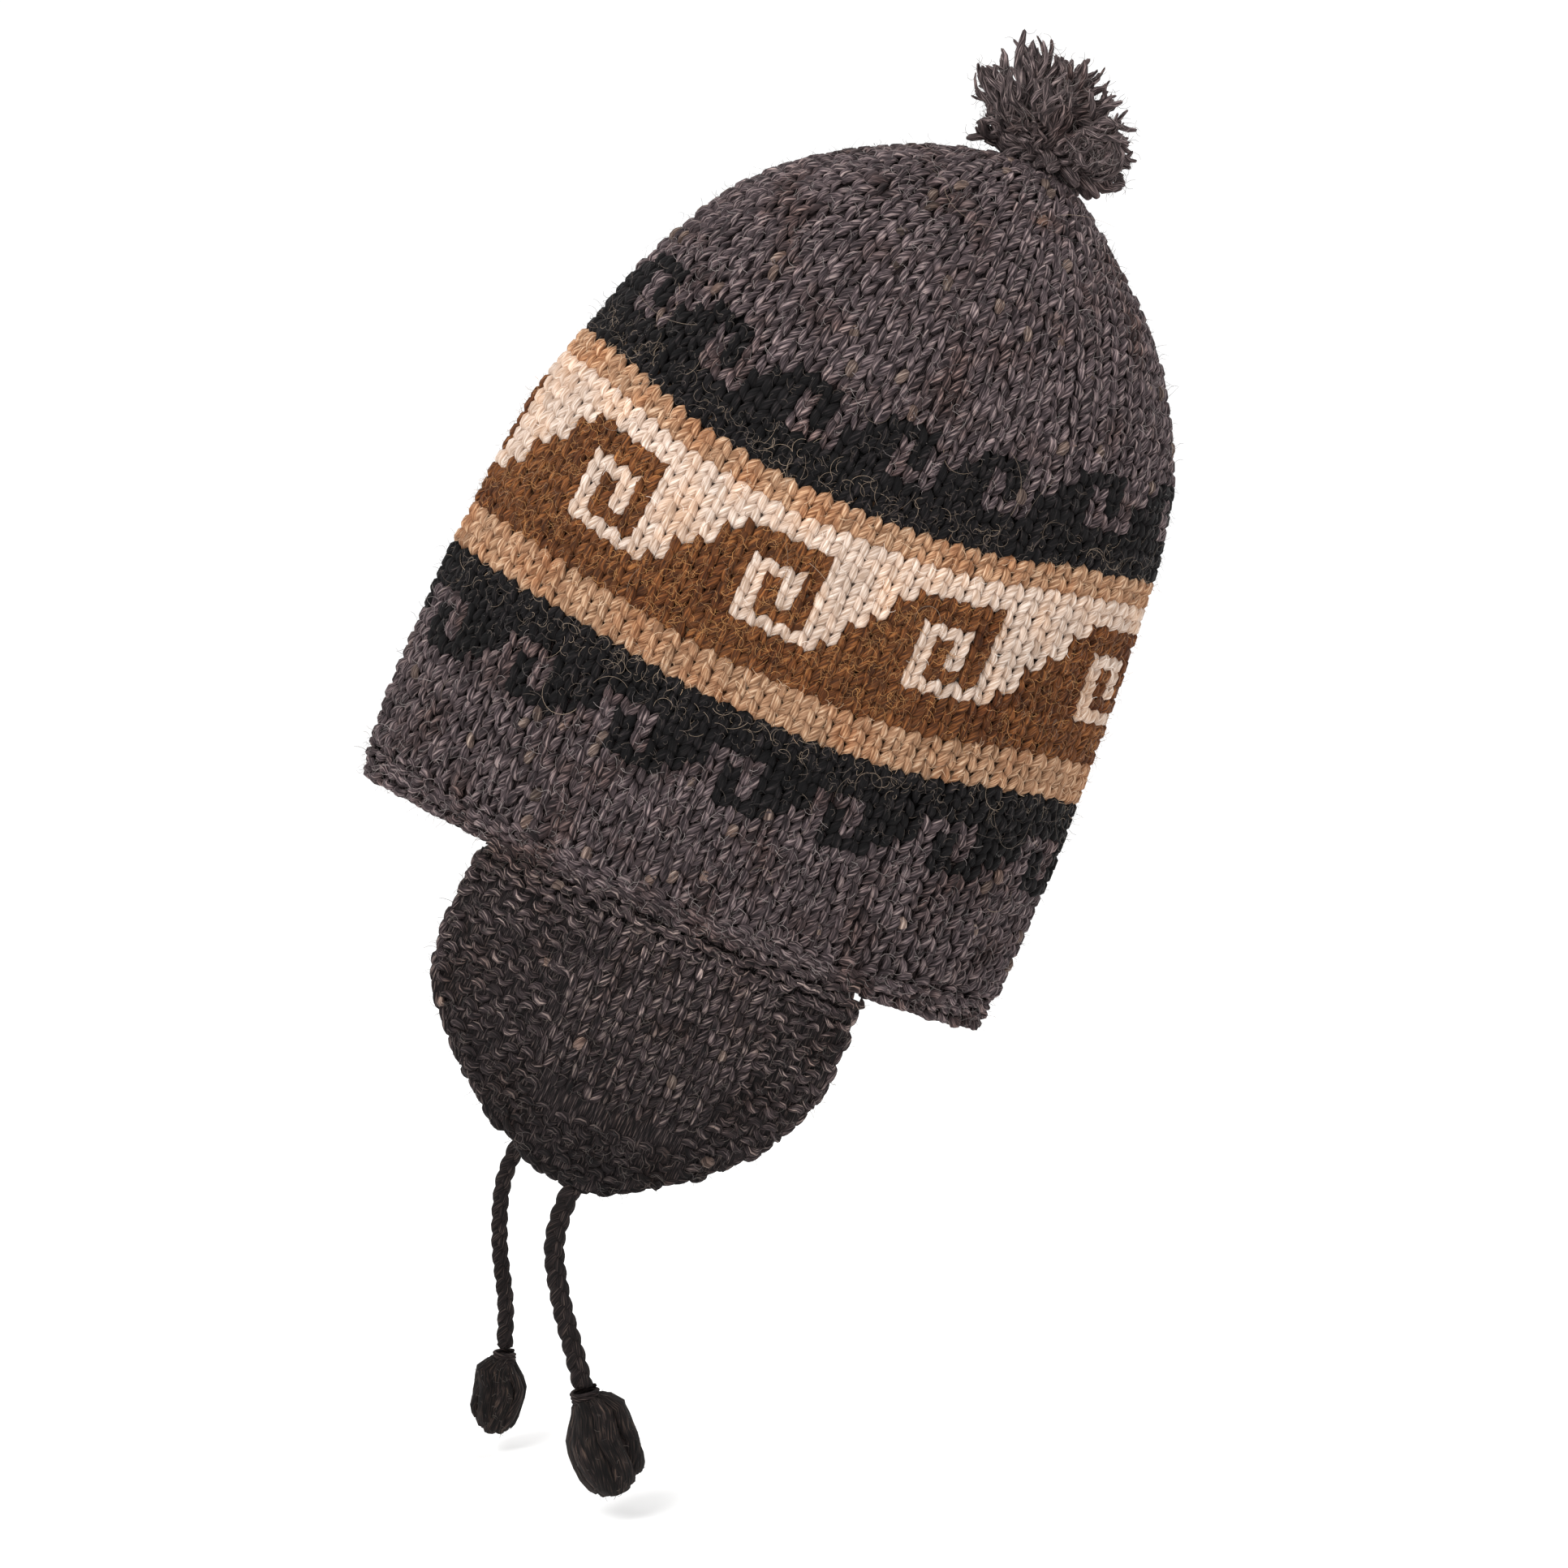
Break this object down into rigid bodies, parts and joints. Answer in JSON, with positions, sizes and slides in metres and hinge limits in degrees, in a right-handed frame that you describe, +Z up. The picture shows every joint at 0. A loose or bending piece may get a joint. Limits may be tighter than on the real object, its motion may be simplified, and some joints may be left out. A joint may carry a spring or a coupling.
{
  "type": "knitted wool hat with ear flaps",
  "caption": "Soft knitted wool hat with ear flaps, plaited ties ending in tassels, a wool tuft on the crown and banded wave and hook colourwork; keeps head and ears warm.",
  "frame": {"origin": "middle of the rim opening, where a head goes in", "axes": "+Z up with the hat leaning back as it is worn, -X to the front of the hat, -Y to its left flap"},
  "size_m": [0.2483, 0.1156, 0.4399],
  "materials": {
    "crown_wool": "heathered grey-brown knit with black, tan, cream and brown bands",
    "flap_wool": "dark heathered grey knit with garter borders",
    "tie_wool": "dark brown-grey plaited wool",
    "tassel_wool": "dark brown-grey loose wool",
    "pompom_wool": "heathered grey-brown wool locks"
  },
  "bodies": {
    "root": {"crown": "crown_wool", "left_ear_flap": "flap_wool", "right_ear_flap": "flap_wool", "left_tie_cord": "tie_wool", "right_tie_cord": "tie_wool", "left_tassel": "tassel_wool", "right_tassel": "tassel_wool", "pompom": "pompom_wool"}
  },
  "joints": []
}
